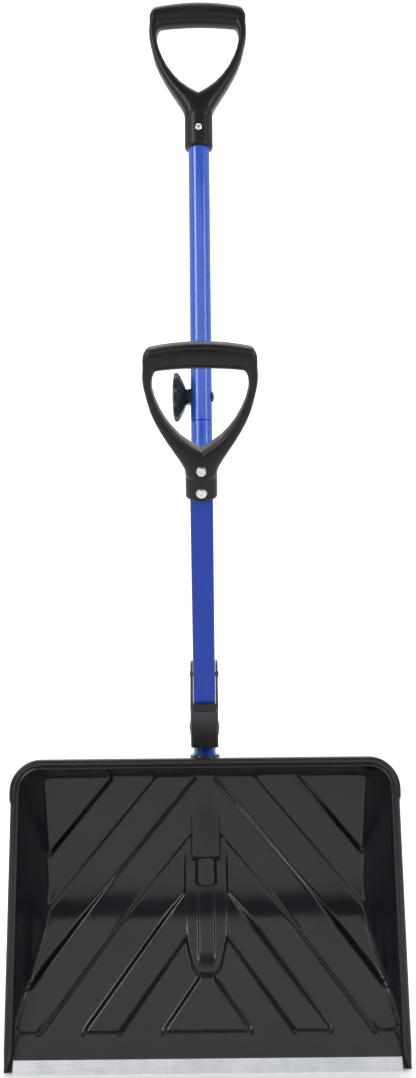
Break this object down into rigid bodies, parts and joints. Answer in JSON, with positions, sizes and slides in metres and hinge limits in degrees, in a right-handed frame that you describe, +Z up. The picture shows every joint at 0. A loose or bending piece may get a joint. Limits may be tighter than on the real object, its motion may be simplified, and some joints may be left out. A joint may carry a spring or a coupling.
{
  "type": "snow shovel",
  "caption": "Two-handled snow shovel: ribbed scoop blade with a metal edge, straight tubular shaft with a D grip, and a sprung assist arm carrying its own D grip.",
  "frame": {"origin": "middle of the cutting edge, on the wear strip's level underside", "axes": "+Z up along the main shaft to the upper grip; the blade's open side and the assist arm face -Y; the clamp knob is on -X"},
  "size_m": [0.4596, 0.2618, 1.2938],
  "materials": {
    "blade_plastic": "black polypropylene, soft sheen on a fine moulded grain",
    "strip_steel": "bare galvanised steel strip, lengthwise scratches",
    "zinc_hardware": "bright zinc plated screws, rivets and nuts",
    "black_hardware": "black coated steel bolt",
    "shaft_paint": "glossy blue powder coat on steel tube",
    "arm_paint": "satin blue powder coat on steel tube",
    "grip_plastic": "black polypropylene, fine spark texture",
    "bracket_paint": "satin black powder coat on steel plate",
    "stop_rubber": "moulded black rubber",
    "spring_steel": "oiled round spring wire",
    "nylon": "natural nylon",
    "brass_insert": "knurled brass threaded insert"
  },
  "bodies": {
    "root": {"blade": "blade_plastic", "wear_strip": "strip_steel", "wear_strip_rivets": "strip_steel", "blade_screws": "zinc_hardware", "lower_shaft": "shaft_paint", "upper_shaft": "shaft_paint", "clamp_bolt": "black_hardware", "clamp_saddle": "grip_plastic", "upper_grip": "grip_plastic", "upper_grip_rivet": "zinc_hardware", "pivot_bracket": "bracket_paint", "bracket_rivets": "bracket_paint", "pivot_pin": "bracket_paint", "arm_stop": "stop_rubber", "torsion_spring": "spring_steel", "spring_sleeve": "nylon"},
    "assist": {"assist_arm": "arm_paint", "pivot_bushings": "nylon", "assist_grip": "grip_plastic", "assist_grip_screws": "zinc_hardware", "assist_grip_nuts": "zinc_hardware"},
    "knob": {"clamp_knob": "grip_plastic", "knob_insert": "brass_insert"}
  },
  "joints": [
    {"name": "assist_hinge", "type": "hinge", "parent": "root", "child": "assist", "pos_m": [0, 0.057, 0.376], "axis": [-1, 0, 0], "range_deg": [0, 22], "stiffness_Nm_per_rad": 14, "springref_deg": -17.19, "deforming": ["torsion_spring"]},
    {"name": "knob_turn", "type": "hinge", "parent": "root", "child": "knob", "pos_m": [-0.0169, 0.086, 0.781], "axis": [-1, 0, 0], "continuous": true}
  ]
}
